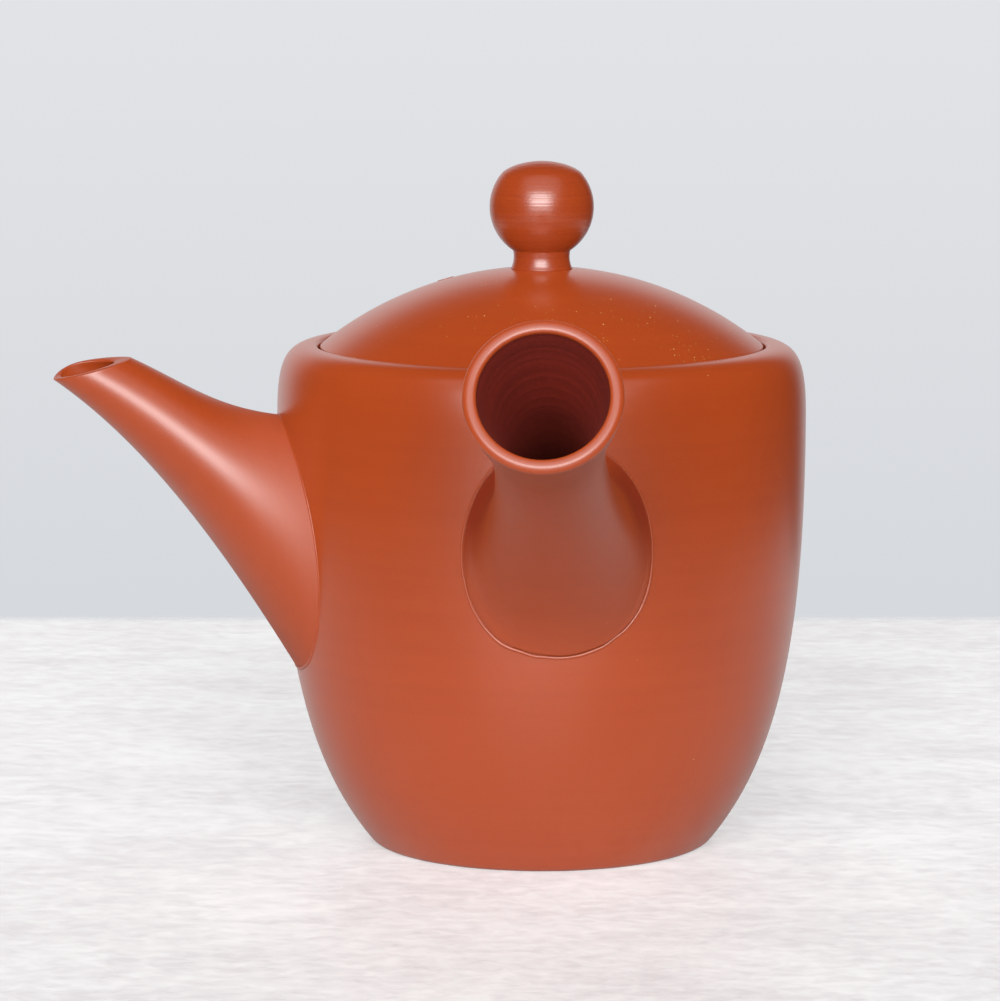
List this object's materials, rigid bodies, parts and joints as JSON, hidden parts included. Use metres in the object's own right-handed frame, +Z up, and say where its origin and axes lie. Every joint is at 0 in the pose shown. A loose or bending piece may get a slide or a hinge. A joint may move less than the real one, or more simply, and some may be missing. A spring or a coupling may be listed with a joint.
{
  "type": "side-handled teapot",
  "caption": "Side-handled teapot of unglazed red clay: round body, slanting spout with a perforated strainer behind it, hollow flared handle, and a domed lift-off lid with a ball knob.",
  "frame": {"origin": "centre of the foot, on the surface that the pot stands on", "axes": "+Z up along the pot's turning axis, the spout points along -X, the handle towards -Y"},
  "size_m": [0.1222, 0.1549, 0.1114],
  "materials": {
    "red_clay": "unglazed, burnished satin"
  },
  "bodies": {
    "pot": {"body": "red_clay", "spout": "red_clay", "strainer": "red_clay", "handle": "red_clay"},
    "lid": {"lid": "red_clay", "knob": "red_clay"}
  },
  "joints": [
    {"name": "lid_lift", "type": "slide", "parent": "pot", "child": "lid", "axis": [0, 0, 1], "range_m": [0, 0.06]}
  ]
}
